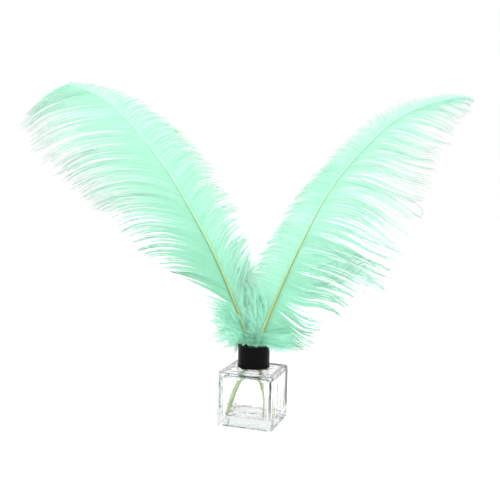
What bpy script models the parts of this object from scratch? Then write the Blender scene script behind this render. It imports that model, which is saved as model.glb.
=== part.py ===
"""Two dyed ostrich plumes crossed in the neck of a square glass bottle with a black collar.

Metres, +Z up. The origin is the centre of the bottle's base and the bottle's front faces -Y.
The plumes spread in one upright plane, which is turned about Z from the bottle's front. Each
plume is modelled in that plane's own frame (X across, Y back, Z up) and its object is turned.
"""

import math

import bmesh
import bpy
import numpy as np

MM = 0.001

# The bottle: a cube of pressed glass with a round neck.
BODY_WIDTH = 52 * MM
BODY_HEIGHT = 49.4 * MM
UPRIGHT_EDGE_RADIUS = 2.4 * MM
RIM_EDGE_RADIUS = 1.5 * MM
SIDE_WALL = 4 * MM
FLOOR_THICKNESS = 8.5 * MM
SHOULDER_THICKNESS = 3.4 * MM
INSIDE_EDGE_RADIUS = 5 * MM
INSIDE_RIM_RADIUS = 3.2 * MM
NECK_RADIUS = 11.6 * MM
BORE_RADIUS = 9.5 * MM
BORE_FLARE = 7.5 * MM
MOUTH_HEIGHT = 71.0 * MM
MOUTH_EDGE = 0.8 * MM
NECK_BEAD_RADIUS = 12.8 * MM
NECK_BEAD_TOP = 50.8 * MM

ROUND_SIDES = 32
SMOOTH_BELOW = math.radians(35)
CUTTER_BEYOND = 3 * MM  # how far a cutter runs past the face it opens

# The collar: a moulded ring that slips over the neck.
COLLAR_RADIUS = 14.6 * MM
COLLAR_BORE_RADIUS = 12 * MM
COLLAR_FOOT = 51.1 * MM
COLLAR_TOP = 71.2 * MM
COLLAR_LIP = 0.15 * MM
COLLAR_LIP_HEIGHT = 1.5 * MM
COLLAR_EDGE = 0.6 * MM

# The plumes.
PLUMES_TURN = math.radians(18.5)
BARBS_FROM_HEIGHT = 83 * MM  # share 0 along a feathered shaft; the down below it has shares under 0
SHAFT_SIDES = 8
SHAFT_STEPS = 26
LOCKS = 25
LAST_LOCK_SHARE = 0.96
WEB_SHARE = 0.34  # the part of a lock's length that is joined to its neighbours
WEB_STEPS = 2
FREE_STEPS = 3
LOCK_RIDGE = 0.75 * MM  # half the thickness along a lock's middle, at its root
LOCK_RIDGE_LOSS = 0.75  # the share of it lost on the way to the tip
LOCK_SEAM = 0.3 * MM  # half the thickness where two locks join
LOCK_WIDTH = 0.94  # a lock's width where it comes free, as a share of the pitch
LOCK_POINT = 1.6  # how late a free lock narrows: 1 is a straight taper
# Locks side by side differ: degrees added to the lean at the tip, and a factor on the length.
LOCK_STAGGER = (0, 14, -6, 9, -10, 5, -7)
LOCK_REACH = (1.02, 1.06, 0.97, 1.05, 0.95, 1.04, 1.0)
DOWN_ROOT_RADIUS = 1.5 * MM
DOWN_TIP_SHARE = 0.15
DOWN_RINGS = 4
DOWN_SIDES = 4

# Half-thickness of a shaft against the share of its whole length, from the quill's foot to the tip.
SHAFT_RADII = ((0, 1.5 * MM), (0.02, 2.0 * MM), (0.1, 1.9 * MM), (0.22, 1.45 * MM),
               (0.55, 0.95 * MM), (0.8, 0.6 * MM), (1, 0.3 * MM))

# A shaft is a smooth curve through points given in millimetres as (across, back, up). A vane is
# a table of guide barbs: share along the shaft, direction at the root, middle and tip in degrees
# anticlockwise from +X, and length in millimetres. A barb leans back by the plume's two angles,
# one at its root and one at its tip. A down lock is: share, direction, lean back, droop, length.
LEFT_PLUME = {
    "shaft": ((11.2, -17.0, 9.2), (11.4, -14.0, 23), (8.9, -8.6, 35), (4.3, -2.1, 51),
              (-0.4, 2.1, 63), (-9.1, 8.2, 83), (-25.8, 16.5, 122.6), (-40.9, 22.5, 154.1),
              (-61.9, 29, 191.2), (-80.7, 33, 221.3), (-99.4, 35.5, 246.2), (-118, 36.5, 269.1),
              (-135.8, 35, 286.4), (-153.1, 31.5, 298), (-169.7, 26.5, 303.9),
              (-179.5, 23, 305.4)),
    "outer": ((-0.005, 166, 204, 242, 30), (0.01, 164, 190, 222, 31), (0.02, 162, 178, 200, 34),
              (0.055, 156, 166, 176, 40), (0.09, 150, 156, 166, 52), (0.149, 154, 164, 190, 66),
              (0.27, 156, 174, 210, 83), (0.416, 157, 180, 214, 102), (0.538, 162, 182, 213, 108),
              (0.645, 171, 187, 215, 107), (0.745, 173, 189, 212, 110), (0.83, 175, 191, 216, 97),
              (0.902, 180, 197, 220, 78), (0.964, 187, 204, 224, 56), (1, 192, 210, 228, 36)),
    "inner": ((-0.005, 90, 86, 80, 48), (0.02, 88, 84, 74, 50),
              (0.05, 86, 79, 60, 50), (0.149, 82, 70, 30, 47), (0.27, 78, 60, 10, 43),
              (0.416, 72, 50, -5, 43), (0.538, 65, 40, -15, 41), (0.645, 60, 28, -22, 40),
              (0.745, 58, 24, -18, 32), (0.83, 62, 40, 5, 21), (0.902, 58, 42, 15, 10),
              (1, 50, 35, 15, 4)),
    "lean": (6, 22),
    "down": ((-0.03, 188, 8, 4, 26), (-0.03, 178, 40, 6, 29), (-0.02, 170, -22, 6, 29),
             (-0.01, 170, 20, 8, 34), (0.0, 155, 35, 4, 38), (0.012, 152, 10, 6, 35),
             (-0.025, 100, -25, 0, 16), (-0.02, 160, 65, 10, 26), (0.035, 110, 50, 0, 26)),
}
RIGHT_PLUME = {
    "shaft": ((-23.3, -11.5, 9.45), (-15.3, -6.8, 32), (-5.8, -2.9, 51), (-0.5, -1.9, 63),
              (7.0, 1.0, 82.2), (17.8, 5, 109.2), (29.5, 8.5, 137.4), (43, 12, 167.5),
              (54.9, 14.5, 192.3), (66.7, 16, 213.7), (80.2, 16.5, 233.3), (95.4, 16, 251.1),
              (111.9, 14, 268.7), (129.9, 11, 282.5), (147.7, 7, 291), (169.8, 1, 297.4),
              (185.2, -4, 298)),
    "outer": ((-0.005, 0, -42, -16, 46), (0.03, -8, -44, -22, 52), (0.06, -16, -45, -12, 55),
              (0.085, -28, -44, -2, 55), (0.11, -38, -32, 8, 50), (0.125, -46, 2, -38, 66),
              (0.16, -34, -4, -34, 73), (0.2, -20, -14, -32, 80), (0.235, -10, -22, -30, 91),
              (0.311, -4, -26, -24, 92), (0.403, 8, -34, -28, 94), (0.485, 18, -28, -34, 97),
              (0.525, 20, -22, -18, 94), (0.564, 22, -24, -8, 90), (0.642, 23, -24, -2, 77),
              (0.723, 18, -21, -10, 62), (0.8, 12, -14, -34, 50), (0.867, 9, -8, -26, 45),
              (0.946, -2, -12, -22, 26), (1, -6, -14, -24, 14)),
    "inner": ((-0.005, 104, 108, 118, 38), (0.03, 112, 118, 138, 38),
              (0.098, 130, 150, 185, 35), (0.2, 148, 172, 214, 38), (0.311, 146, 172, 214, 31),
              (0.403, 148, 174, 216, 28), (0.485, 148, 178, 214, 25), (0.564, 148, 178, 212, 22),
              (0.642, 142, 150, 190, 20), (0.723, 138, 128, 150, 16), (0.799, 136, 118, 105, 13),
              (0.867, 140, 130, 115, 10), (1, 120, 110, 100, 5)),
    "lean": (4, 20),
    "down": ((-0.02, 346, -8, 4, 42), (-0.02, 350, -30, 6, 36), (-0.012, 352, 15, 6, 38),
             (-0.015, 356, -52, 12, 28), (0.0, 50, -45, 15, 24), (0.005, 342, -5, 4, 44),
             (0.02, 346, 35, 10, 36), (-0.01, 355, 38, 12, 28), (0.035, 80, -55, 5, 24)),
}


def clear_scene():
    for thing in list(bpy.data.objects):
        bpy.data.objects.remove(thing, do_unlink=True)


def material(name, colour, roughness, metallic=0.0, transmission=0.0):
    made = bpy.data.materials.new(name)
    made.use_nodes = True
    shader = made.node_tree.nodes["Principled BSDF"]
    shader.inputs["Base Color"].default_value = (*colour, 1)
    shader.inputs["Roughness"].default_value = roughness
    shader.inputs["Metallic"].default_value = metallic
    shader.inputs["Transmission Weight"].default_value = transmission
    return made


def add_object(name, form, finish=None):
    """Makes an object of a bmesh, which it frees. Without a finish it is a helper, left out of the model."""
    bmesh.ops.recalc_face_normals(form, faces=form.faces)
    bmesh.ops.triangulate(form, faces=[face for face in form.faces if len(face.verts) == 4])
    mesh = bpy.data.meshes.new(name)
    form.to_mesh(mesh)
    form.free()
    made = bpy.data.objects.new(name, mesh)
    bpy.context.scene.collection.objects.link(made)
    if finish:
        mesh.materials.append(finish)
        mesh.shade_smooth()
        mesh.set_sharp_from_angle(angle=SMOOTH_BELOW)
    else:
        made.hide_render = True
        made.display_type = "WIRE"
    return made


def combine(target, other, operation):
    step = target.modifiers.new(f"{operation.lower()} {other.name}", "BOOLEAN")
    step.object = other
    step.operation = operation
    step.solver = "EXACT"


def rounded_block(width, foot, top, upright_radius, rim_radius, segments):
    """A square block with its upright edges and then its top and bottom rims rounded."""
    form = bmesh.new()
    bmesh.ops.create_cube(form, size=1)
    bmesh.ops.scale(form, vec=(width, width, top - foot), verts=form.verts)
    bmesh.ops.translate(form, vec=(0, 0, (top + foot) / 2), verts=form.verts)
    upright = [e for e in form.edges if abs(e.verts[0].co.z - e.verts[1].co.z) > (top - foot) / 2]
    bmesh.ops.bevel(form, geom=upright, offset=upright_radius, segments=segments, profile=0.5,
                    affect="EDGES")
    rims = [e for e in form.edges if abs(e.verts[0].co.z - e.verts[1].co.z) < (top - foot) / 2]
    bmesh.ops.bevel(form, geom=rims, offset=rim_radius, segments=segments - 1, profile=0.5,
                    affect="EDGES")
    return form


def turned(profile):
    """A solid of revolution about Z. The (radius, height) profile ends on the axis or closes in a ring."""
    form = bmesh.new()
    points = [form.verts.new((radius, 0, height)) for radius, height in profile]
    edges = [form.edges.new(pair) for pair in zip(points, points[1:])]
    if profile[0][0] > 0:
        edges.append(form.edges.new((points[-1], points[0])))
    bmesh.ops.spin(form, geom=points + edges, cent=(0, 0, 0), axis=(0, 0, 1),
                   angle=math.tau, steps=ROUND_SIDES, use_merge=True)
    bmesh.ops.remove_doubles(form, verts=form.verts, dist=1e-6)
    return form


def arc(centre, radius, start, end, steps):
    return [(centre[0] + radius * math.cos(math.radians(start + (end - start) * i / steps)),
             centre[1] + radius * math.sin(math.radians(start + (end - start) * i / steps)))
            for i in range(steps + 1)]


def glass_bottle(finish):
    body = add_object("glass_bottle", rounded_block(
        BODY_WIDTH, 0, BODY_HEIGHT, UPRIGHT_EDGE_RADIUS, RIM_EDGE_RADIUS, 3), finish)
    bead_height = NECK_BEAD_TOP - BODY_HEIGHT
    inside_body = BODY_HEIGHT - SHOULDER_THICKNESS / 2
    neck = [(0, inside_body), (NECK_RADIUS, inside_body), (NECK_RADIUS, BODY_HEIGHT),
            *arc((NECK_BEAD_RADIUS - bead_height / 2, BODY_HEIGHT + bead_height / 2),
                 bead_height / 2, -60, 60, 3),
            (NECK_RADIUS, NECK_BEAD_TOP), (NECK_RADIUS, MOUTH_HEIGHT - MOUTH_EDGE),
            (NECK_RADIUS - MOUTH_EDGE, MOUTH_HEIGHT), (0, MOUTH_HEIGHT)]
    combine(body, add_object("neck_form", turned(neck)), "UNION")
    ceiling = BODY_HEIGHT - SHOULDER_THICKNESS
    inside = add_object("inside_form", rounded_block(
        BODY_WIDTH - 2 * SIDE_WALL, FLOOR_THICKNESS, ceiling, INSIDE_EDGE_RADIUS,
        INSIDE_RIM_RADIUS, 4))
    combine(body, inside, "DIFFERENCE")
    above_mouth = MOUTH_HEIGHT + CUTTER_BEYOND
    flare_centre = (BORE_RADIUS + BORE_FLARE, ceiling + BORE_FLARE)
    lowest = ceiling - CUTTER_BEYOND
    bore = [(0, lowest), (BORE_RADIUS + BORE_FLARE, lowest),
            *arc(flare_centre, BORE_FLARE, 270, 180, 4),
            (BORE_RADIUS, above_mouth), (0, above_mouth)]
    combine(body, add_object("bore_form", turned(bore)), "DIFFERENCE")
    return body


def black_collar(finish):
    wall = [(COLLAR_BORE_RADIUS, COLLAR_FOOT), (COLLAR_RADIUS + COLLAR_LIP - COLLAR_EDGE, COLLAR_FOOT),
            (COLLAR_RADIUS + COLLAR_LIP, COLLAR_FOOT + COLLAR_EDGE),
            (COLLAR_RADIUS + COLLAR_LIP, COLLAR_FOOT + COLLAR_LIP_HEIGHT),
            (COLLAR_RADIUS, COLLAR_FOOT + COLLAR_LIP_HEIGHT + COLLAR_LIP),
            (COLLAR_RADIUS, COLLAR_TOP - COLLAR_EDGE), (COLLAR_RADIUS - COLLAR_EDGE, COLLAR_TOP),
            (COLLAR_BORE_RADIUS + COLLAR_EDGE / 2, COLLAR_TOP),
            (COLLAR_BORE_RADIUS, COLLAR_TOP - COLLAR_EDGE / 2)]
    return add_object("black_collar", turned(wall), finish)


class Course:
    """A smooth curve through a few points, read by the length along it."""

    def __init__(self, points, steps=12):
        knots = np.array(points, float) * MM
        knots = np.vstack([2 * knots[0] - knots[1], knots, 2 * knots[-1] - knots[-2]])
        share = np.linspace(0, 1, steps, endpoint=False)[:, None]
        runs = [(2 * b + (c - a) * share + (2 * a - 5 * b + 4 * c - d) * share**2
                 + (3 * b - a - 3 * c + d) * share**3) / 2
                for a, b, c, d in zip(knots, knots[1:], knots[2:], knots[3:])]
        self.points = np.vstack([*runs, knots[-2:-1]])
        steps_between = np.linalg.norm(np.diff(self.points, axis=0), axis=1)
        self.lengths = np.concatenate([[0], np.cumsum(steps_between)])
        self.length = self.lengths[-1]

    def at(self, length):
        return np.array([np.interp(length, self.lengths, axis) for axis in self.points.T]).T

    def feathered(self, share):
        """The point at a share of the stretch from the lowest true barbs to the tip."""
        start = np.interp(BARBS_FROM_HEIGHT, self.points[:, 2], self.lengths)
        return self.at(start + share * (self.length - start))


def guide(table, share):
    """The directions (degrees) and length (metres) of the barb that grows at this share of the shaft."""
    shares = [row[0] for row in table]
    *angles, length = (np.interp(share, shares, column) for column in list(zip(*table))[1:])
    return angles, length * MM


def barb_line(root, angles, length, lean, shares):
    """Points along a barb whose direction goes smoothly through its three angles, at shares of its length."""
    fine = np.linspace(0, 1, 41)
    middle = (fine[1:] + fine[:-1]) / 2
    turn = np.radians(np.interp(middle, (0, 0.5, 1), angles))
    back = np.radians(lean[0] + (lean[1] - lean[0]) * middle)
    steps = np.stack([np.cos(turn) * np.cos(back), np.sin(back), np.sin(turn) * np.cos(back)], 1)
    walked = np.vstack([np.zeros(3), np.cumsum(steps * length / len(middle), axis=0)])
    return root + np.stack([np.interp(shares, fine, axis) for axis in walked.T], 1)


def vane_sheet(form, course, table, lean, shares, roots):
    """Adds one vane: locks side by side, joined near the shaft and tapering apart beyond, each thickest
    along its middle. roots are the vertices on the shaft, which both vanes share."""
    rows = WEB_STEPS + FREE_STEPS
    along = np.concatenate([np.linspace(0, WEB_SHARE, WEB_STEPS + 1),
                            np.linspace(WEB_SHARE, 1, FREE_STEPS + 1)[1:]])
    lines = []
    for i, share in enumerate(shares):
        angles, length = guide(table, share)
        tip_lean = lean[1] + LOCK_STAGGER[i % len(LOCK_STAGGER)]
        lines.append(barb_line(course.feathered(share), angles, length * LOCK_REACH[i % len(LOCK_REACH)],
                               (lean[0], tip_lean), along))
    middles = np.array(lines)
    gaps = np.empty((len(shares) + 1, rows + 1, 3))
    gaps[1:-1] = (middles[1:] - middles[:-1]) / 2
    gaps[0], gaps[-1] = gaps[1], gaps[-2]
    free = np.clip((along - WEB_SHARE) / (1 - WEB_SHARE), 0, 1)
    width = LOCK_WIDTH * (1 - free**LOCK_POINT)
    ridge = LOCK_RIDGE * (1 - LOCK_RIDGE_LOSS * along)
    thick = np.array([0, 1, 0])

    def pair(point, half):
        return [form.verts.new(point - thick * half), form.verts.new(point + thick * half)]

    seams = []
    for i in range(len(shares) + 1):
        beside = middles[min(i, len(shares) - 1)] + (gaps[i] if i == len(shares) else -gaps[i])
        seams.append([roots[2 * i]] + [pair(beside[k], LOCK_SEAM) for k in range(1, WEB_STEPS + 1)])
    for i in range(len(shares)):
        ridges = [roots[2 * i + 1]] + [pair(middles[i][k], ridge[k]) for k in range(1, rows)]
        edges = []
        for side, seam in ((-1, seams[i]), (1, seams[i + 1])):
            line = list(seam)
            for k in range(WEB_STEPS + 1, rows):
                gap = (gaps[i] if side < 0 else gaps[i + 1])[k]
                point = form.verts.new(middles[i][k] + side * gap * width[k])
                line.append([point, point])
            edges.append(line)
        tip = form.verts.new(middles[i][rows])
        for line in edges:
            for k in range(rows - 1):
                for face in (0, 1):
                    corners = [ridges[k][face], ridges[k + 1][face], line[k + 1][face], line[k][face]]
                    form.faces.new(list(dict.fromkeys(corners)))
                if line[k][0] is not line[k][1] and line[k + 1][0] is line[k + 1][1]:
                    form.faces.new([line[k][0], line[k][1], line[k + 1][0]])
            for face in (0, 1):
                form.faces.new([ridges[-1][face], tip, line[-1][face]])
    return [seams[0], seams[-1]]


def fishbone(course, plume):
    """Both vanes as one closed sheet, from the down at the base to the tip."""
    form = bmesh.new()
    first, last = plume["outer"][0][0], LAST_LOCK_SHARE
    shares = np.linspace(first, last, LOCKS)
    pitch = shares[1] - shares[0]
    roots = []
    for share in np.arange(2 * LOCKS + 1) / 2 * pitch + first - pitch / 2:
        centre = course.feathered(share)
        roots.append([form.verts.new(centre - (0, LOCK_SEAM, 0)), form.verts.new(centre + (0, LOCK_SEAM, 0))])
    borders = [vane_sheet(form, course, plume[side], plume["lean"], shares, roots)
               for side in ("outer", "inner")]
    for end in (0, 1):
        for border in borders:
            line = border[end]
            for k in range(WEB_STEPS):
                form.faces.new([line[k][0], line[k][1], line[k + 1][1], line[k + 1][0]])
    return form


def tube(line, radii, sides):
    """A closed round rod along a line."""
    form = bmesh.new()
    rings = []
    for i, (centre, radius) in enumerate(zip(line, radii)):
        ahead = line[min(i + 1, len(line) - 1)] - line[max(i - 1, 0)]
        ahead /= np.linalg.norm(ahead)
        across = np.cross(ahead, (0, 1, 0))
        across /= np.linalg.norm(across)
        up = np.cross(across, ahead)
        rings.append([form.verts.new(centre + radius * (math.cos(a) * across + math.sin(a) * up))
                      for a in np.arange(sides) * math.tau / sides + math.pi / sides])
    for below, above in zip(rings, rings[1:]):
        for i in range(sides):
            form.faces.new([below[i - 1], below[i], above[i], above[i - 1]])
    form.faces.new(rings[0])
    form.faces.new(rings[-1][::-1])
    return form


def shaft(course):
    line = course.at(np.linspace(0, course.length, SHAFT_STEPS + 1))
    shares, radii = zip(*SHAFT_RADII)
    return tube(line, np.interp(np.linspace(0, 1, SHAFT_STEPS + 1), shares, radii), SHAFT_SIDES)


def down_lock(course, share, direction, back, droop, length):
    """A short soft lock that arches out of the shaft's base and droops."""
    root = course.feathered(share)
    flat = math.cos(math.radians(back))
    ahead = np.array([flat * math.cos(math.radians(direction)), math.sin(math.radians(back)),
                      flat * math.sin(math.radians(direction))])
    along = np.linspace(0, 1, DOWN_RINGS)
    fall = length * MM * math.sin(math.radians(droop)) * along**2
    line = root + np.outer(along * length * MM, ahead)
    line[:, 2] -= fall
    return tube(line, DOWN_ROOT_RADIUS * (1 + DOWN_TIP_SHARE - along), DOWN_SIDES)


def plume(name, spec, finish):
    course = Course(spec["shaft"])
    made = add_object(name, shaft(course), finish)
    made.rotation_euler.z = PLUMES_TURN
    parts = [fishbone(course, spec)] + [down_lock(course, *row) for row in spec["down"]]
    for number, form in enumerate(parts):
        part = add_object(f"{name}_form_{number}", form)
        part.rotation_euler.z = PLUMES_TURN
        combine(made, part, "UNION")
    return made


def main():
    clear_scene()
    glass = material("clear glass", (0.95, 0.98, 0.97), 0.03, transmission=1.0)
    plastic = material("black moulded plastic", (0.012, 0.013, 0.013), 0.25)
    feather = material("mint dyed feather", (0.52, 0.95, 0.74), 0.75)
    glass_bottle(glass)
    black_collar(plastic)
    plume("left_feather", LEFT_PLUME, feather)
    plume("right_feather", RIGHT_PLUME, feather)


main()
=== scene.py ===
"""Looks for two dyed ostrich plumes crossed in the neck of a square glass bottle.

Metres, +Z up. The bottle stands on the floor at the origin with its front facing -Y. The plumes
spread in an upright plane that is turned about Z, and are worked out in that plane's own frame:
X across it, Y behind it, Z up.
"""

import math

import bmesh
import bpy
import numpy as np
from mathutils import Euler, Matrix, Vector


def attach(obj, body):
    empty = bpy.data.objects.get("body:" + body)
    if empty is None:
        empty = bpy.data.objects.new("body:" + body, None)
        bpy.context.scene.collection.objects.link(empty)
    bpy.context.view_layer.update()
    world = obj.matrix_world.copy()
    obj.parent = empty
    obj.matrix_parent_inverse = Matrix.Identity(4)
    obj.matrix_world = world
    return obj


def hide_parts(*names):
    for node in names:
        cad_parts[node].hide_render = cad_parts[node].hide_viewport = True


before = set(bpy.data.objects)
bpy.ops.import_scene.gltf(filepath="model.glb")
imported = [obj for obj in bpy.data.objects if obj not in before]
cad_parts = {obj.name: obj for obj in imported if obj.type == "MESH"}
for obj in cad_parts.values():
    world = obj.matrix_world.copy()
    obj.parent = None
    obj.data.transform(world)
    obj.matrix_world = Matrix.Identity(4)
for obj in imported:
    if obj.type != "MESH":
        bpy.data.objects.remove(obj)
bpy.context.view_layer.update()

MM = 0.001
NEARLY = 0.01 * MM  # within this, a corner counts as lying on a plane or a circle

# The bottle and its collar, as they are in the solids.
BODY_WIDTH = 52 * MM
BODY_HEIGHT = 49.4 * MM
UPRIGHT_EDGE_RADIUS = 2.4 * MM
RIM_EDGE_RADIUS = 1.5 * MM
SIDE_WALL = 4 * MM
FLOOR_THICKNESS = 8.5 * MM
SHOULDER_THICKNESS = 3.4 * MM
INSIDE_EDGE_RADIUS = 5 * MM
INSIDE_RIM_RADIUS = 3.2 * MM
NECK_RADIUS = 11.6 * MM
BORE_RADIUS = 9.5 * MM
BORE_FLARE = 7.5 * MM
MOUTH_HEIGHT = 71.0 * MM
NECK_BEAD_RADIUS = 12.8 * MM
NECK_BEAD_TOP = 50.8 * MM
NECK_EDGE_RADIUS = 0.8 * MM
MOUTH_EDGE_RADIUS = 0.7 * MM
COLLAR_RADIUS = 14.6 * MM
COLLAR_BORE_RADIUS = 12 * MM
COLLAR_FOOT = 51.1 * MM
COLLAR_TOP = 71.2 * MM
COLLAR_LIP = 0.15 * MM
COLLAR_LIP_HEIGHT = 1.5 * MM
COLLAR_EDGE_RADIUS = 0.45 * MM
# The underside and the inside floor step up in rings, from the outside in: each ring's width as a
# share of the last one's, and its rise in millimetres.
UNDERSIDE_RINGS = ((0.9, 0), (0.95, 0.35), (0.95, 0.3), (0.8, 0.25), (0.5, 0.1))
FLOOR_RINGS = ((0.86, 0.45), (0.72, 0.35), (0.55, 0.3), (0.35, 0.2), (0.15, 0.1))
ROUND_SIDES, COLLAR_SIDES = 96, 128
FLARE_STEPS = 8
CUT_BEYOND = 3 * MM  # how far the bore's cutter passes out of the glass at either end

# The plumes, laid out as in the solids. All rows are in millimetres and degrees. shaft: points
# across, behind and up. outer and inner, the vanes: share along the feathered shaft, direction of
# a barb at its root, middle and tip, anticlockwise from across, and its length. lean: how far
# barbs turn back, at the root and at the tip. down, one tuft a row: share, direction, lean back,
# droop and length. down_spread: how far the barbs of a tuft fan out. strays, one barb a row: share
# and the points it passes.
PLUMES_TURN = math.radians(18.5)
BARBS_FROM_HEIGHT = 83 * MM  # share 0; what grows below it has shares under 0
# Radius of the shaft against the share of its whole length, from the quill's foot.
SHAFT_RADII = ((0, 1.5 * MM), (0.02, 2.0 * MM), (0.1, 1.9 * MM), (0.22, 1.45 * MM),
               (0.55, 0.95 * MM), (0.8, 0.6 * MM), (1, 0.3 * MM))
LEFT_PLUME = {
    "shaft": ((11.2, -17.0, 9.2), (11.4, -14.0, 23), (8.9, -8.6, 35), (4.3, -2.1, 51),
              (-0.4, 2.1, 63), (-9.1, 8.2, 83), (-25.8, 16.5, 122.6), (-40.9, 22.5, 154.1),
              (-61.9, 29, 191.2), (-80.7, 33, 221.3), (-99.4, 35.5, 246.2), (-118, 36.5, 269.1),
              (-135.8, 35, 286.4), (-153.1, 31.5, 298), (-169.7, 26.5, 303.9),
              (-179.5, 23, 305.4)),
    "outer": ((-0.005, 166, 204, 242, 30), (0.01, 164, 190, 222, 31), (0.02, 162, 178, 200, 34),
              (0.055, 156, 166, 176, 40), (0.09, 150, 156, 166, 52), (0.149, 154, 164, 190, 66),
              (0.27, 156, 174, 210, 83), (0.416, 157, 180, 214, 102), (0.538, 162, 182, 213, 108),
              (0.645, 171, 187, 215, 107), (0.72, 173, 189, 213, 113), (0.83, 175, 191, 216, 101),
              (0.902, 180, 197, 220, 78), (0.964, 187, 204, 224, 56), (1, 192, 210, 228, 36)),
    "inner": ((-0.045, 86, 82, 80, 50), (-0.005, 86, 82, 78, 53), (0.02, 86, 82, 76, 55),
              (0.05, 85, 80, 68, 55), (0.149, 82, 71, 38, 52), (0.27, 78, 60, 12, 45),
              (0.416, 72, 50, -5, 43), (0.538, 65, 40, -15, 41), (0.645, 60, 28, -22, 40),
              (0.745, 58, 24, -18, 32), (0.83, 62, 40, 5, 23), (0.902, 58, 42, 15, 12),
              (1, 50, 35, 15, 5)),
    "lean": (6, 22),
    "down": ((-0.035, 188, -10, 2, 20), (-0.03, 178, 25, 2, 28), (-0.025, 168, -15, 4, 31),
             (-0.03, 186, 40, 2, 26), (-0.01, 164, 10, 6, 36), (0, 154, 35, 2, 39),
             (0.005, 158, 20, 6, 38), (0.012, 151, 20, 4, 38), (-0.03, 196, 15, 0, 20),
             (-0.03, 100, 25, 0, 22), (-0.035, 80, 10, 0, 24), (-0.035, 65, 15, 0, 20),
             (-0.022, 79, 1, 0, 47), (-0.038, 25, -10, 0, 11), (-0.03, 42, 8, 0, 15),
             (-0.038, 90, -20, 0, 12), (-0.038, 60, -45, 0, 13), (-0.04, 185, -60, 0, 15),
             (-0.04, 225, -70, 0, 15), (-0.04, 270, -72, 0, 17), (-0.04, 320, -66, 0, 16)),
    "down_spread": 14,
    "strays": ((0.085, (-29, 14, 112), (-46, 14, 121), (-65, 14, 128)),
               (0.075, (-27, 13, 110), (-42, 13, 117), (-54, 13, 118)),
               (0.1, (-25, 16, 117), (-40, 16, 125), (-59, 16, 131))),
}
RIGHT_PLUME = {
    "shaft": ((-23.3, -11.5, 9.45), (-15.3, -6.8, 32), (-5.8, -2.9, 51), (-0.5, -1.9, 63),
              (7.0, 1.0, 82.2), (17.8, 5, 109.2), (29.5, 8.5, 137.4), (43, 12, 167.5),
              (54.9, 14.5, 192.3), (66.7, 16, 213.7), (80.2, 16.5, 233.3), (95.4, 16, 251.1),
              (111.9, 14, 268.7), (129.9, 11, 282.5), (147.7, 7, 291), (169.8, 1, 297.4),
              (185.2, -4, 298)),
    "outer": ((-0.005, 0, -42, -16, 48), (0.03, -8, -44, -22, 56), (0.06, -16, -45, -12, 60),
              (0.085, -28, -44, -2, 61), (0.11, -38, -32, 8, 55), (0.125, -46, 2, -38, 66),
              (0.16, -34, -4, -34, 74), (0.2, -20, -14, -32, 82), (0.235, -10, -22, -30, 93),
              (0.311, -4, -26, -24, 99), (0.403, 8, -34, -28, 106), (0.485, 18, -28, -34, 104),
              (0.525, 20, -22, -18, 97), (0.564, 22, -24, -8, 89), (0.642, 23, -24, -2, 77),
              (0.723, 18, -21, -10, 65), (0.8, 12, -14, -34, 55), (0.867, 9, -8, -26, 44),
              (0.946, -2, -12, -22, 22), (1, -6, -14, -24, 7)),
    "inner": ((-0.045, 100, 104, 112, 34), (-0.005, 104, 108, 118, 38), (0.03, 112, 118, 138, 38),
              (0.098, 130, 150, 185, 35), (0.2, 148, 172, 214, 38), (0.311, 146, 172, 214, 33),
              (0.403, 148, 174, 216, 30), (0.485, 148, 178, 214, 27), (0.564, 148, 178, 212, 23),
              (0.642, 142, 150, 190, 19), (0.723, 138, 128, 140, 15), (0.799, 136, 120, 105, 12),
              (0.867, 140, 130, 115, 9), (1, 140, 130, 120, 3)),
    "lean": (4, 20),
    "down": ((-0.035, 2, -10, 2, 32), (-0.035, 358, 10, 2, 37), (-0.03, 4, -25, 2, 34),
             (-0.03, 359, 0, 2, 39), (-0.02, 5, 30, 3, 35), (-0.01, 9, 15, 6, 35),
             (-0.038, 100, 15, 0, 22), (-0.035, 92, 8, 0, 26), (-0.038, 115, 5, 0, 20),
             (0.005, 99, 6, 0, 44), (0.012, 107, 7, 0, 46), (-0.038, 155, -10, 0, 11),
             (-0.03, 138, 4, 0, 15), (-0.038, 90, -20, 0, 12), (-0.038, 75, -40, 0, 12),
             (-0.04, 290, -70, 0, 14), (-0.04, 240, -70, 0, 15)),
    "down_spread": 7,
    "strays": ((0.32, (61, 14, 162), (82, 14, 154), (104, 14, 146), (116, 14, 138), (119, 14, 126),
                (121, 14, 109), (113, 14, 113), (98, 14, 121)),
               (0.34, (61, 16, 167), (82, 16, 159), (102, 16, 150), (117, 16, 140),
                (125, 16, 131), (136, 16, 121)),
               (0.56, (88, 20, 228), (106, 20, 220), (125, 20, 213), (136, 20, 209),
                (148, 20, 203), (154, 20, 196), (152, 20, 191), (145, 20, 194)),
               (0.14, (34, 12, 123), (52, 12, 125), (72, 12, 135), (82, 12, 144), (93, 12, 156)),
               (0.15, (38, 13, 123), (56, 13, 123), (76, 13, 133), (85, 13, 142), (98, 13, 156)),
               (0.16, (42, 14, 124), (62, 14, 125), (79, 14, 135), (89, 14, 143), (108, 14, 151)),
               (0.2, (41, 12, 138), (58, 12, 142), (75, 12, 148), (73, 12, 140), (72, 12, 133)),
               (0.17, (46, 13, 126), (69, 13, 127), (88, 13, 132), (97, 13, 140), (106, 13, 150)),
               (0.15, (41, 12, 122), (62, 12, 121), (78, 12, 128), (89, 12, 138), (97, 12, 148))),
}

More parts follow.
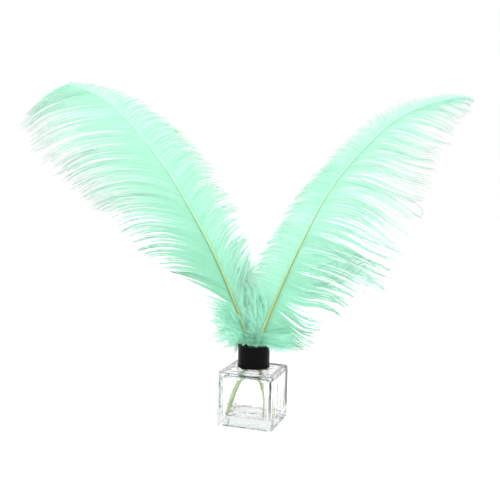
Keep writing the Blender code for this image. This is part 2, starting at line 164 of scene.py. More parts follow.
# How each vane is dressed. barbs: how many. pieces: how many meshes they make. strand and lock:
# spacing along the shaft in millimetres, where along the barb the gathering starts and is
# complete, and how far it goes. crowd: how thickly barbs stand along the shaft. partings: places
# along the shaft where the vane has split, with the gap's width in millimetres. sway and lift:
# degrees by which a barb turns in the vane and out of it, at its root, by its tip and in waves
# between. shared: how much of that a lock turns as one, then a strand, then a single barb. ends:
# between which shares of the table's length barbs end. barbules: length and spacing in
# millimetres, angle to the barb, how far they stand out of the vane, width, and how uneven the
# angle is. taper: the last share of a barb in which they shorten. seed: of the random draws.
HABITS = {
    "left_outer": {
        "barbs": 560, "pieces": 2, "strand": (2.2, 0.12, 0.88, 0.73), "lock": (13, 0.4, 1.15, 0.1),
        "crowd": ((0, 1.6), (0.04, 1.1), (0.06, 0.8), (0.09, 0.8), (0.12, 1.5), (0.3, 1.25), (0.6, 1),
                  (0.9, 0.7), (1, 0.4)),
        "partings": ((0.078, 2.6), (0.365, 0.9), (0.445, 1.1), (0.56, 1.1), (0.667, 3.2), (0.72, 1.2),
                     (0.84, 1.2), (0.9, 0.8)),
        "sway": (1.5, 5, 3), "lift": (3, 6, 4), "shared": (0.3, 0.14, 0.14), "ends": (0.78, 1.06),
        "barbules": (2.1, 0.375, 32, 25, 0.28, 8), "taper": 0.65, "seed": 11},
    "left_inner": {
        "barbs": 470, "pieces": 1, "strand": (2.4, 0.35, 1.0, 0.25), "lock": (9, 0.5, 1.2, 0.02),
        "crowd": ((-0.04, 2.4), (0, 2.6), (0.05, 1.9), (0.1, 1.3), (0.75, 1), (0.86, 1.3), (1, 1.3)),
        "partings": (), "sway": (4, 10, 9), "lift": (5, 12, 9), "shared": (0.06, 0.11, 0.5),
        "ends": (0.84, 1.05), "barbules": (2.9, 0.31, 42, 42, 0.25, 14), "taper": 0.4, "seed": 12},
    "right_outer": {
        "barbs": 590, "pieces": 2, "strand": (3.3, 0.12, 0.92, 0.68), "lock": (15, 0.35, 1.15, 0.1),
        "crowd": ((0, 2.0), (0.05, 2.2), (0.1, 1.9), (0.13, 1.8), (0.16, 2.3), (0.28, 1.8),
                  (0.5, 1.0), (1, 0.75)),
        "partings": ((0.122, 2.8), (0.5, 1.2)), "sway": (3, 8, 13), "lift": (4, 9, 6),
        "shared": (0.24, 0.3, 0.38), "ends": (0.76, 1.05),
        "barbules": (1.9, 0.35, 32, 28, 0.26, 8), "taper": 0.65, "seed": 13},
    "right_inner": {
        "barbs": 600, "pieces": 1, "strand": (2.2, 0.4, 1.1, 0.1), "lock": (10, 0.5, 1.2, 0.02),
        "crowd": ((-0.04, 2.0), (0, 1.8), (0.1, 1.3), (0.4, 1.15), (0.55, 1.5), (0.9, 1.3), (1, 0.9)),
        "partings": (), "sway": (3, 6, 4), "lift": (5, 11, 7), "shared": (0.05, 0.09, 0.4),
        "ends": (0.84, 1.05), "barbules": (2.7, 0.32, 42, 38, 0.26, 12), "taper": 0.35, "seed": 14},
}

BARB_STEPS = 28  # pieces of a barb's path
ROD_STEP = 4  # how many of them one piece of its rod spans
BARB_RADII = (0.16 * MM, 0.075 * MM)  # at the root and at the tip
STRAY_RADII = (0.2 * MM, 0.17 * MM)
ROOT_DEPTH = 0.6  # how far behind the shaft's middle line barbs start, as a share of its radius
LEAST_LEAN = 2  # degrees by which a vane's barbs lean back at least, so that the shaft shows
PARTING_REACH = 0.02  # how far along the shaft a parting pushes barbs aside, as a share of it
OTHER_SIDE = 9.0  # added to the distance of a leader across a parting: more than any real one
LAST_BARB = 0.995  # its share along the shaft
BARB_JITTER = (0.2, 0.8)  # where a barb stands in the room it has
UNEVEN_GAPS = (0.65, 1.35)  # between strands and between locks, as shares of their spacing
GATHERING = (0.55, 1)  # how much of the pull into its strand or lock a barb or strand follows
PARTED_BY = 0.4  # the share of a barb by which it has moved to its side of a parting
DOWNY_END, DOWNY_FADE = 0.05, 0.04  # shares: where barbs are downy no longer, and how far it fades
DOWNY_TURNS = 0.8  # how much more a fully downy barb turns, as a share
LOCK_ENDS, STRAND_ENDS = 0.03, 0.04  # how much locks, and strands in a lock, differ in length
BARBULE_REACH = (0.55, 1.2)  # the shortest and the longest, as shares of their length
BARBULE_CLOSING = 0.35  # how much closer to the barb they lie at its tip, as a share
BARE_ROOT = 0.04  # the first share of a barb, where barbules are short
GROWN_BARB = 35 * MM  # the barbules of shorter barbs are shorter too
STRAY_BARBULES = (0.9, 0.5, 30, 30, 0.2, 8)
MAP_LOW, MAP_HIGH = 0.01, 0.99  # the part of the bake map that barbs take up, each way
DOWN_BARBS_PER_TUFT = 34
DOWN_FOOT = -0.04  # the lowest share along the shaft from which it grows
DOWN_ROOTS = 0.0005  # the scatter of a tuft's roots, as a share for each millimetre of its length
DOWN_ENDS = (0.5, 1.12)  # the shortest and the longest barbs of a tuft, as shares of its length
DOWN_SWAY = (0.4, 1.3, 1)  # as sway is for the vanes, in shares of down_spread
DOWN_LIFT = (6, 24, 16)  # as lift is for the vanes, in degrees
DOWN_FAN = 14  # degrees by which the barbs of a tuft differ in how they lean back
DOWN_SAG = 0.8  # a tip sinks by this share of its barb's length, times the sine of the droop
DOWN_TAPER = 0.3
DOWN_BARBULES = (3.2, 0.42, 52, 60, 0.23, 22)
DOWN_LEAST_LEAN = math.radians(8)  # of tufts that leave the shaft from behind
DOWN_LEAVES = 0.3  # the first share of their barbs, to which that applies
DOWN_CLEARANCE = 1.2 * MM  # between the down and the collar
MOUTH_FRONT = 13 * MM  # half the width in which down comes out to the front over the collar

# The shaft, with a shallow groove along its front. The quill below the groove is round.
SHAFT_RINGS, SHAFT_SIDES = 120, 16
FOOT_POINT, TIP_POINT = 0.4 * MM, 0.5 * MM
GROOVE_BEGINS, GROOVE_FADE = 0.2, 0.1  # shares of the shaft's whole length
GROOVE_DEPTH, GROOVE_WIDTH, GROOVE_ANGLE = 0.18, 0.35, math.pi * 1.5

# The camera, fitted to the bottle's edges: it looks a little down, straight at the plumes' plane,
# and was held a little askew.
CAMERA_PLACE = (0.1935, -0.5962, 0.2100)
CAMERA_DOWN, CAMERA_ASKEW = 4.7457, 1.2772


def linear(code):
    """An sRGB hex colour as the linear RGBA that sockets take."""
    parts = [int(code[i:i + 2], 16) / 255 for i in (1, 3, 5)]
    return [p / 12.92 if p <= 0.04045 else ((p + 0.055) / 1.055) ** 2.4 for p in parts] + [1]


def add_node(tree, kind, settings=None, links=None):
    """One node: settings are its properties or its input values, links feed its inputs."""
    node = tree.nodes.new(kind)
    for key, value in (settings or {}).items():
        if hasattr(node, str(key)):
            setattr(node, key, value)
        else:
            node.inputs[key].default_value = value
    for key, source in (links or {}).items():
        tree.links.new(source, node.inputs[key])
    return node


def new_finish(name):
    """An empty node material and its output node."""
    made = bpy.data.materials.new(name)
    made.use_nodes = True
    made.node_tree.nodes.clear()
    return made, made.node_tree, made.node_tree.nodes.new("ShaderNodeOutputMaterial")


def ramp(tree, stops, source):
    """A colour ramp through (position, hex) stops."""
    node = add_node(tree, "ShaderNodeValToRGB", links={"Fac": source})
    band = node.color_ramp
    while len(band.elements) < len(stops):
        band.elements.new(0.5)
    for element, (position, code) in zip(band.elements, stops):
        element.position = position
        element.color = linear(code)
    return node.outputs["Color"]


def dyed_barb(name, along_barb, along_shaft):
    """Ostrich barbs dyed mint. Keratin threads thinner than a hair, so light goes through them as
    well as off them; the dye is deepest near the shaft and at the plume's foot."""
    made, tree, output = new_finish(name)
    place = add_node(tree, "ShaderNodeUVMap", {"uv_map": "OFBake"}).outputs["UV"]
    axes = add_node(tree, "ShaderNodeSeparateXYZ", links={"Vector": place})
    barb = ramp(tree, along_barb, axes.outputs["X"])
    shaft = ramp(tree, along_shaft, axes.outputs["Y"])
    multiply = {"data_type": "RGBA", "blend_type": "MULTIPLY", 0: 1.0}
    dye = add_node(tree, "ShaderNodeMix", multiply, {"A": barb, "B": shaft})
    # Each strand takes the dye a little differently: bands about 3 mm wide along the shaft.
    stretched = add_node(tree, "ShaderNodeMapping", {"Scale": (1.5, 110, 1)}, {"Vector": place})
    uneven = add_node(tree, "ShaderNodeTexNoise", {"Scale": 1.0, "Detail": 3.0},
                      {"Vector": stretched.outputs[0]})
    tone = ramp(tree, ((0.3, "#e6f6ef"), (0.7, "#ffffff")), uneven.outputs["Fac"])
    colour = add_node(tree, "ShaderNodeMix", multiply, {"A": dye.outputs["Result"], "B": tone})
    skin = add_node(tree, "ShaderNodeBsdfPrincipled", {"Roughness": 0.6, "Specular IOR Level": 0.3},
                    {"Base Color": colour.outputs["Result"]})
    through = add_node(tree, "ShaderNodeBsdfTranslucent", links={"Color": colour.outputs["Result"]})
    mixed = add_node(tree, "ShaderNodeMixShader", {0: 0.45},
                     {1: skin.outputs[0], 2: through.outputs[0]})
    tree.links.new(mixed.outputs[0], output.inputs["Surface"])
    return made


def keratin_shaft():
    """A dyed feather shaft. Horny keratin: straw where it is thick, with the dye's green towards
    the tip, smoother than the barbs. One flank is pale with a painted highlight, the other olive
    with painted shade."""
    made, tree, output = new_finish("dyed_keratin_shaft")
    place = add_node(tree, "ShaderNodeUVMap", {"uv_map": "OFBake"}).outputs["UV"]
    axes = add_node(tree, "ShaderNodeSeparateXYZ", links={"Vector": place})
    # Painted light: pale is the shaft's own colour along its length plus a painted highlight, and
    # olive is the same plus painted shade. The flank mask puts the highlight round one side and the
    # shade round the other.
    pale = ramp(tree, ((0, "#cfe0b8"), (0.15, "#b4cc98"), (0.25, "#a0bb82"), (0.4, "#a2cd96"),
                       (0.6, "#b4e8c4"), (1, "#b4f2d6")), axes.outputs["X"])
    painted_shade_flank = ramp(tree, ((0, "#b0c490"), (0.15, "#93ac70"), (0.25, "#7f8c4c"), (0.4, "#6a8850"),
                        (0.6, "#79b48a"), (1, "#9fe6c6")), axes.outputs["X"])
    flank = ramp(tree, ((0.0, "#ffffff"), (0.15, "#000000"), (0.68, "#000000"), (0.8, "#ffffff")),
                 axes.outputs["Y"])
    colour = add_node(tree, "ShaderNodeMix", {"data_type": "RGBA"},
                      {"Factor": flank, "A": pale, "B": painted_shade_flank})
    skin = add_node(tree, "ShaderNodeBsdfPrincipled", {"Roughness": 0.4},
                    {"Base Color": colour.outputs["Result"]})
    tree.links.new(skin.outputs[0], output.inputs["Surface"])
    return made


def soda_lime_glass():
    """Pressed clear bottle glass: polished, a little wavy, and faintly green where it is deep."""
    made, tree, output = new_finish("soda_lime_glass")
    place = add_node(tree, "ShaderNodeTexCoord").outputs["Object"]
    # The mould and the fire polish leave waves some 6 mm wide that run up the walls.
    drawn = add_node(tree, "ShaderNodeMapping", {"Scale": (170, 170, 45)}, {"Vector": place})
    waves = add_node(tree, "ShaderNodeTexNoise", {"Scale": 1.0, "Detail": 1.5},
                     {"Vector": drawn.outputs[0]})
    # The underside and the inside floor are less even, with ripples some 3 mm wide.
    ripples = add_node(tree, "ShaderNodeTexNoise", {"Scale": 330.0, "Detail": 2.0}, {"Vector": place})
    height = add_node(tree, "ShaderNodeSeparateXYZ", links={"Vector": place}).outputs["Z"]
    low = add_node(tree, "ShaderNodeMapRange",
                   {"From Min": FLOOR_THICKNESS + 0.5 * MM, "From Max": FLOOR_THICKNESS + 3 * MM,
                    "To Min": 0.45, "To Max": 0.0}, {"Value": height})
    uneven = add_node(tree, "ShaderNodeMath", {"operation": "MULTIPLY_ADD"},
                      {0: ripples.outputs["Fac"], 1: low.outputs[0], 2: waves.outputs["Fac"]})
    bump = add_node(tree, "ShaderNodeBump", {"Strength": 0.6, "Distance": 0.0006},
                    {"Height": uneven.outputs[0]})
    skin = add_node(tree, "ShaderNodeBsdfPrincipled",
                    {"Base Color": linear("#ffffff"), "Roughness": 0.0, "IOR": 1.5,
                     "Transmission Weight": 1.0}, {"Normal": bump.outputs[0]})
    depth = add_node(tree, "ShaderNodeVolumeAbsorption",
                     {"Color": (0.55, 0.68, 0.62, 1), "Density": 7.0})
    tree.links.new(skin.outputs[0], output.inputs["Surface"])
    tree.links.new(depth.outputs[0], output.inputs["Volume"])
    return made


def moulded_black_plastic():
    """Black phenolic-look moulding, satin gloss with faint moulding grain."""
    made, tree, output = new_finish("moulded_black_plastic")
    place = add_node(tree, "ShaderNodeTexCoord").outputs["Object"]
    grain = add_node(tree, "ShaderNodeTexNoise", {"Scale": 900.0, "Detail": 2.0}, {"Vector": place})
    bump = add_node(tree, "ShaderNodeBump", {"Strength": 0.08, "Distance": 0.0002},
                    {"Height": grain.outputs["Fac"]})
    skin = add_node(tree, "ShaderNodeBsdfPrincipled",
                    {"Base Color": linear("#040505"), "Roughness": 0.24, "Specular IOR Level": 0.055},
                    {"Normal": bump.outputs[0]})
    tree.links.new(skin.outputs[0], output.inputs["Surface"])
    return made


def studio_white():
    """The matte white paper under the bottle. It glows with painted light, more so further out, so
    that it shows white to its end, and a painted shadow darkens it where the bottle touches it."""
    made, tree, output = new_finish("white_paper_sweep")
    place = add_node(tree, "ShaderNodeTexCoord").outputs["Object"]
    distance = add_node(tree, "ShaderNodeVectorMath", {"operation": "LENGTH"}, {0: place})
    # Painted light: the floor glows, less near the bottle and more further out.
    painted_floor_glow = add_node(tree, "ShaderNodeMapRange",
                    {"From Min": 0.08, "From Max": 0.6, "To Min": 0.64, "To Max": 1.0},
                    {"Value": distance.outputs["Value"]})
    # Painted shadow: under the bottle's foot, 26 mm to each side, the glow is turned down a little.
    painted_foot_shadow = add_node(tree, "ShaderNodeMapRange",
                      {"From Min": 0.024, "From Max": 0.036, "To Min": 0.86, "To Max": 1.0},
                      {"Value": distance.outputs["Value"]})
    light = add_node(tree, "ShaderNodeMath", {"operation": "MULTIPLY"},
                     {0: painted_floor_glow.outputs[0], 1: painted_foot_shadow.outputs[0]})
    skin = add_node(tree, "ShaderNodeBsdfPrincipled",
                    {"Base Color": linear("#c4c4c4"), "Roughness": 0.9, "Specular IOR Level": 0.0,
                     "Emission Color": (1, 1, 1, 1)}, {"Emission Strength": light.outputs[0]})
    tree.links.new(skin.outputs[0], output.inputs["Surface"])
    return made


# ---- working by hand: selections and modifiers ----


def only(piece):
    """Makes this the one selected and active object."""
    if bpy.context.object and bpy.context.object.mode != "OBJECT":
        bpy.ops.object.mode_set(mode="OBJECT")
    bpy.ops.object.select_all(action="DESELECT")
    piece.select_set(True)
    bpy.context.view_layer.objects.active = piece


def named(name):
    """Names the object that was just added and puts its place into its mesh."""
    piece = bpy.context.object
    piece.name = name
    bpy.ops.object.transform_apply(location=True, rotation=True, scale=True)
    return piece


def pick(piece, kind, test):
    """In edit mode, selects the verts, edges or faces that pass the test on their corners."""
    bpy.ops.object.mode_set(mode="EDIT")
    bpy.ops.mesh.select_mode(type={"verts": "VERT", "edges": "EDGE", "faces": "FACE"}[kind])
    bpy.ops.mesh.select_all(action="DESELECT")
    form = bmesh.from_edit_mesh(piece.data)
    for part in getattr(form, kind):
        corners = [part.co] if kind == "verts" else [v.co for v in part.verts]
        part.select_set(bool(test(corners)))
    form.select_flush_mode()
    bmesh.update_edit_mesh(piece.data)


def object_mode():
    bpy.ops.object.mode_set(mode="OBJECT")


def modify(piece, kind, **settings):
    """Adds a modifier and applies it."""
    only(piece)
    step = piece.modifiers.new(kind.lower(), kind)
    for key, value in settings.items():
        setattr(step, key, value)
    bpy.ops.object.modifier_apply(modifier=step.name)


def cut_or_join(piece, other, operation):
    modify(piece, "BOOLEAN", object=other, operation=operation, solver="EXACT")
    bpy.data.objects.remove(other, do_unlink=True)


def smooth(piece, degrees=30):
    only(piece)
    bpy.ops.object.shade_smooth_by_angle(angle=math.radians(degrees))
    modify(piece, "WEIGHTED_NORMAL", keep_sharp=True, weight=100)


# ---- the bottle and the collar ----


def rounded_block(name, width, foot, top, upright_radius, rim_radii, segments):
    bpy.ops.mesh.primitive_cube_add(size=1, location=(0, 0, (foot + top) / 2),
                                    scale=(width, width, top - foot))
    block = named(name)
    height = (top - foot) / 2
    pick(block, "edges", lambda c: abs(c[0].z - c[1].z) > height)
    bpy.ops.mesh.bevel(offset=upright_radius, segments=segments, affect="EDGES")
    for end, radius in zip((foot, top), rim_radii):
        pick(block, "edges", lambda c: all(abs(p.z - end) < NEARLY for p in c))
        bpy.ops.mesh.bevel(offset=radius, segments=segments - 1, affect="EDGES")
    object_mode()
    return block


def cylinder(name, radius, low, high, sides=ROUND_SIDES, ends="NGON"):
    bpy.ops.mesh.primitive_cylinder_add(vertices=sides, radius=radius, depth=high - low,
                                        end_fill_type=ends, location=(0, 0, (low + high) / 2))
    return named(name)


def step_up(rings, height):
    """Insets the selected face ring by ring, and lifts it with each."""
    for share, rise in rings:
        bpy.ops.mesh.inset(thickness=0)
        bpy.ops.transform.resize(value=(share, share, 1), center_override=(0, 0, height))
        bpy.ops.transform.translate(value=(0, 0, rise * MM))


def glass_bottle(finish):
    bpy.ops.object.select_all(action="DESELECT")
    body = rounded_block("bottle", BODY_WIDTH, 0, BODY_HEIGHT, UPRIGHT_EDGE_RADIUS,
                         (RIM_EDGE_RADIUS,) * 2, 7)
    # It stands on its rim: the underside is pushed up a little inside it.
    pick(body, "faces", lambda c: all(p.z < NEARLY for p in c))
    step_up(UNDERSIDE_RINGS, 0)
    object_mode()
    # The neck stands on the shoulder over a low rolled bead.
    neck = cylinder("neck", NECK_RADIUS, BODY_HEIGHT - SHOULDER_THICKNESS / 2, MOUTH_HEIGHT)
    pick(neck, "edges", lambda c: all(p.z > MOUTH_HEIGHT - NEARLY for p in c))
    bpy.ops.mesh.bevel(offset=NECK_EDGE_RADIUS, segments=4, affect="EDGES")
    object_mode()
    cut_or_join(body, neck, "UNION")
    bead_height = NECK_BEAD_TOP - BODY_HEIGHT
    bpy.ops.mesh.primitive_torus_add(location=(0, 0, BODY_HEIGHT + bead_height / 2),
                                     major_radius=NECK_BEAD_RADIUS - bead_height / 2,
                                     minor_radius=bead_height / 2,
                                     major_segments=ROUND_SIDES, minor_segments=20)
    cut_or_join(body, named("bead"), "UNION")
    # The hollow: a rounded block whose floor swells up towards its middle, and the flared bore.
    ceiling = BODY_HEIGHT - SHOULDER_THICKNESS
    inside = rounded_block("inside", BODY_WIDTH - 2 * SIDE_WALL, FLOOR_THICKNESS, ceiling,
                           INSIDE_EDGE_RADIUS, (INSIDE_RIM_RADIUS / 2, INSIDE_RIM_RADIUS), 8)
    pick(inside, "faces", lambda c: all(p.z < FLOOR_THICKNESS + NEARLY for p in c))
    step_up(FLOOR_RINGS, FLOOR_THICKNESS)
    object_mode()
    cut_or_join(body, inside, "DIFFERENCE")
    flare_top = ceiling + BORE_FLARE
    bore = cylinder("bore", BORE_RADIUS, flare_top, MOUTH_HEIGHT + CUT_BEYOND)
    pick(bore, "faces", lambda c: all(p.z < flare_top + NEARLY for p in c))
    wide, deep = BORE_RADIUS, 0
    for step in range(1, FLARE_STEPS + 1):
        angle = math.radians(90 * step / FLARE_STEPS)
        wider = BORE_RADIUS + BORE_FLARE * (1 - math.cos(angle))
        deeper = BORE_FLARE * math.sin(angle)
        bpy.ops.mesh.extrude_region_move(TRANSFORM_OT_translate={"value": (0, 0, deep - deeper)})
        bpy.ops.transform.resize(value=(wider / wide, wider / wide, 1), center_override=(0, 0, 0))
        wide, deep = wider, deeper
    bpy.ops.mesh.extrude_region_move(TRANSFORM_OT_translate={"value": (0, 0, -CUT_BEYOND)})
    object_mode()
    cut_or_join(body, bore, "DIFFERENCE")
    pick(body, "edges", lambda c: all(abs(math.hypot(p.x, p.y) - BORE_RADIUS) < NEARLY
                                      and p.z > MOUTH_HEIGHT - NEARLY for p in c))
    bpy.ops.mesh.bevel(offset=MOUTH_EDGE_RADIUS, segments=4, affect="EDGES")
    object_mode()
    smooth(body, 32)
    body.data.materials.clear()
    body.data.materials.append(finish)
    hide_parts("glass_bottle")
    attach(body, "root")


def black_collar(finish):
    bpy.ops.object.select_all(action="DESELECT")
    collar = cylinder("collar", COLLAR_RADIUS, COLLAR_FOOT, COLLAR_TOP, COLLAR_SIDES, "NOTHING")
    # A low lip round the foot, where the moulding left its tool.
    lip_top = COLLAR_FOOT + COLLAR_LIP_HEIGHT
    bpy.ops.object.mode_set(mode="EDIT")
    for height in (lip_top, lip_top + COLLAR_LIP):
        bpy.ops.mesh.select_all(action="SELECT")
        bpy.ops.mesh.bisect(plane_co=(0, 0, height), plane_no=(0, 0, 1))
    pick(collar, "verts", lambda c: c[0].z < lip_top + NEARLY)
    bpy.ops.transform.resize(value=((COLLAR_RADIUS + COLLAR_LIP) / COLLAR_RADIUS,) * 2 + (1,),
                             center_override=(0, 0, 0))
    object_mode()
    modify(collar, "SOLIDIFY", thickness=COLLAR_RADIUS - COLLAR_BORE_RADIUS, offset=-1,
           use_even_offset=True)
    modify(collar, "BEVEL", width=COLLAR_EDGE_RADIUS, segments=4, limit_method="ANGLE",
           angle_limit=math.radians(40))
    smooth(collar, 35)
    collar.data.materials.clear()
    collar.data.materials.append(finish)
    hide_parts("black_collar")
    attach(collar, "root")


# ---- the plumes ----


def shaft_radius(share):
    """The shaft's radius at a share of its whole length."""
    return np.interp(share, *zip(*SHAFT_RADII))


class Course:
    """A smooth curve through a few points, read by the length along it."""

    def __init__(self, points, steps=12):
        knots = np.array(points, float) * MM
        knots = np.vstack([2 * knots[0] - knots[1], knots, 2 * knots[-1] - knots[-2]])
        share = np.linspace(0, 1, steps, endpoint=False)[:, None]
        runs = [(2 * b + (c - a) * share + (2 * a - 5 * b + 4 * c - d) * share**2
                 + (3 * b - a - 3 * c + d) * share**3) / 2
                for a, b, c, d in zip(knots, knots[1:], knots[2:], knots[3:])]
        self.points = np.vstack([*runs, knots[-2:-1]])
        between = np.linalg.norm(np.diff(self.points, axis=0), axis=1)
        self.lengths = np.concatenate([[0], np.cumsum(between)])
        self.length = self.lengths[-1]
        self.start = np.interp(BARBS_FROM_HEIGHT, self.points[:, 2], self.lengths)

    def at(self, length):
        return np.array([np.interp(length, self.lengths, axis) for axis in self.points.T]).T

    def feathered(self, share):
        return self.at(self.start + share * (self.length - self.start))

    def radius(self, share):
        return shaft_radius((self.start + share * (self.length - self.start)) / self.length)


def unit(vectors):
    return vectors / np.maximum(np.linalg.norm(vectors, axis=-1, keepdims=True), 1e-12)


def mesh_piece(name, points, triangles, places, finish):
    """A piece from points in the plumes' frame, corner triples and their places on the bake map."""
    turn = np.array([[math.cos(PLUMES_TURN), math.sin(PLUMES_TURN), 0],
                     [-math.sin(PLUMES_TURN), math.cos(PLUMES_TURN), 0], [0, 0, 1]])
    mesh = bpy.data.meshes.new(name)
    mesh.vertices.add(len(points))
    mesh.vertices.foreach_set("co", (points @ turn).astype(np.float32).ravel())
    mesh.loops.add(triangles.size)
    mesh.loops.foreach_set("vertex_index", triangles.astype(np.int32).ravel())
    mesh.polygons.add(len(triangles))
    mesh.polygons.foreach_set("loop_start", np.arange(0, triangles.size, 3, dtype=np.int32))
    mesh.polygons.foreach_set("use_smooth", np.ones(len(triangles), bool))
    mesh.update(calc_edges=True)
    layer = mesh.uv_layers.new(name="OFBake")
    layer.data.foreach_set("uv", places.astype(np.float32).ravel())
    mesh.materials.append(finish)
    piece = bpy.data.objects.new(name, mesh)
    bpy.context.scene.collection.objects.link(piece)
    return piece


def barb_points(course, table, lean, shares, turned, lifted, stretch):
    """Paths of barbs, one row each: they start on the shaft and follow the guide table."""
    table = np.array(table, float)
    root, middle, tip, length = (np.interp(shares, table[:, 0], table[:, k]) for k in range(1, 5))
    t = (np.arange(BARB_STEPS) + 0.5) / BARB_STEPS
    first, last = np.clip(2 * t, 0, 1), np.clip(2 * t - 1, 0, 1)
    turn = np.radians(root[:, None] + (middle - root)[:, None] * first + (tip - middle)[:, None] * last
                      + turned)
    # They grow from the shaft's flanks and lie behind it, so that it shows along its whole length.
    back = np.radians(np.maximum(lean[0] + (lean[1] - lean[0]) * t + lifted, LEAST_LEAN))
    steps = np.stack([np.cos(turn) * np.cos(back), np.sin(back), np.sin(turn) * np.cos(back)], -1)
    steps *= (length * stretch * MM / BARB_STEPS)[:, None, None]
    paths = np.concatenate([np.zeros((len(shares), 1, 3)), np.cumsum(steps, axis=1)], axis=1)
    roots = course.feathered(shares)
    roots[:, 1] += ROOT_DEPTH * course.radius(shares)
    return roots[:, None, :] + paths


def spaced(low, high, pitch, rng):
    """Places from low to high with uneven gaps that average the pitch."""
    gaps = pitch * rng.uniform(*UNEVEN_GAPS, int((high - low) / pitch * 1.6) + 4)
    places = low + np.cumsum(gaps) - gaps[0] * rng.random()
    return places[places < high + pitch / 2]


def crowded(low, high, count, crowd, rng):
    """Places from low to high that stand as thickly as the crowd table says."""
    grid = np.linspace(low, high, 800)
    filled = np.cumsum(np.interp(grid, *np.array(crowd).T))
    wanted = (np.arange(count) + rng.uniform(*BARB_JITTER, count)) / count
    return np.interp(wanted, filled / filled[-1], grid)


def soft_step(t, start, full):
    rise = np.clip((t - start) / (full - start), 0, 1)
    return rise * rise * (3 - 2 * rise)


def wander(count, rng, root, tip, waves):
    """Smooth random angles along barbs: rows of degrees, growing from root to tip."""
    t = (np.arange(BARB_STEPS) + 0.5) / BARB_STEPS
    steady = rng.normal(0, root, (count, 1)) + rng.normal(0, tip, (count, 1)) * t
    phase = rng.uniform(0, math.tau, (count, 1))
    return steady + rng.normal(0, waves, (count, 1)) * np.sin(phase + t * math.tau * 0.9) * (0.3 + t)


def gathered_barbs(course, plume, side, habit):
    """Barbs of one vane, drawn together into strands and the strands into pointed locks."""
    rng = np.random.default_rng(habit["seed"])
    table, lean = plume[side], plume["lean"]
    low, high = table[0][0], LAST_BARB
    per_share = (course.length - course.start) / MM
    t = np.linspace(0, 1, BARB_STEPS + 1)[None, :, None]

    def paths(shares, turned, lifted, stretch):
        """Paths that start at their own place and lean away from the vane's partings."""
        shares = np.clip(shares, low, 1)
        beside = shares + sum(np.sign(shares - place) * gap / 2 / per_share
                              * np.exp(-np.abs(shares - place) / PARTING_REACH)
                              for place, gap in habit["partings"])
        here = barb_points(course, table, lean, shares, turned, lifted, stretch)
        there = barb_points(course, table, lean, np.clip(beside, low, 1), turned, lifted, stretch)
        return here + soft_step(t, 0.0, PARTED_BY) * (there - here)

    def group(members, leaders):
        """The nearest leader of each member, on the same side of every parting."""
        sides = sum((members[:, None] > place) != (leaders[None] > place)
                    for place, _ in habit["partings"])
        return (np.abs(members[:, None] - leaders[None]) + OTHER_SIDE * np.array(sides)).argmin(1)

    def loose(shares):
        """How downy the barbs are: fully at the shaft's foot, no longer a little way up."""
        return np.clip((DOWNY_END - shares) / DOWNY_FADE, 0, 1)[:, None]

    def turns(habit_range, shares, portion):
        angles = wander(len(shares), rng, *(amount * portion for amount in habit_range))
        return angles * (1 + DOWNY_TURNS * loose(shares))

    shares = crowded(low, high, habit["barbs"], habit["crowd"], rng)
    lock_pitch, *lock_pull = habit["lock"]
    strand_pitch, *strand_pull = habit["strand"]
    locks = spaced(low, high, lock_pitch / per_share, rng)
    strands = spaced(low, high, strand_pitch / per_share, rng)
    lock_of, strand_of = group(strands, locks), group(shares, strands)
    sway, lift = habit["sway"], habit["lift"]
    by_lock, by_strand, by_barb = habit["shared"]
    lock_turn, lock_lift = turns(sway, locks, by_lock), turns(lift, locks, by_lock)
    strand_turn = lock_turn[lock_of] + turns(sway, strands, by_strand)
    strand_lift = lock_lift[lock_of] + turns(lift, strands, by_strand)
    barb_turn = strand_turn[strand_of] + turns(sway, shares, by_barb)
    barb_lift = strand_lift[strand_of] + turns(lift, shares, by_barb)
    ends = rng.normal(1, LOCK_ENDS, len(locks))
    strand_ends = ends[lock_of] * rng.normal(1, STRAND_ENDS, len(strands))
    barb_ends = strand_ends[strand_of] * rng.uniform(*habit["ends"], len(shares))
    lock_paths = paths(locks, lock_turn, lock_lift, ends)
    strand_paths = paths(strands, strand_turn, strand_lift, strand_ends)
    barb_paths = paths(shares, barb_turn, barb_lift, barb_ends)

    def pull(start, full, most, shares):
        keep = 1 - loose(shares)[..., None]
        return soft_step(t, start, full) * most * keep * rng.uniform(*GATHERING, (len(shares), 1, 1))

    strand_paths += pull(*lock_pull, strands) * (lock_paths[lock_of] - strand_paths)
    barb_paths += pull(*strand_pull, shares) * (strand_paths[strand_of] - barb_paths)
    return barb_paths, rng


def stray_barbs(course, plume):
    """The few single barbs that have sprung out of the vane or are bent across it."""
    runs = []
    for share, *points in plume["strays"]:
        run = Course([course.feathered(share) / MM, *points])
        runs.append(run.at(np.linspace(0, run.length, BARB_STEPS + 1)))
    return np.array(runs)


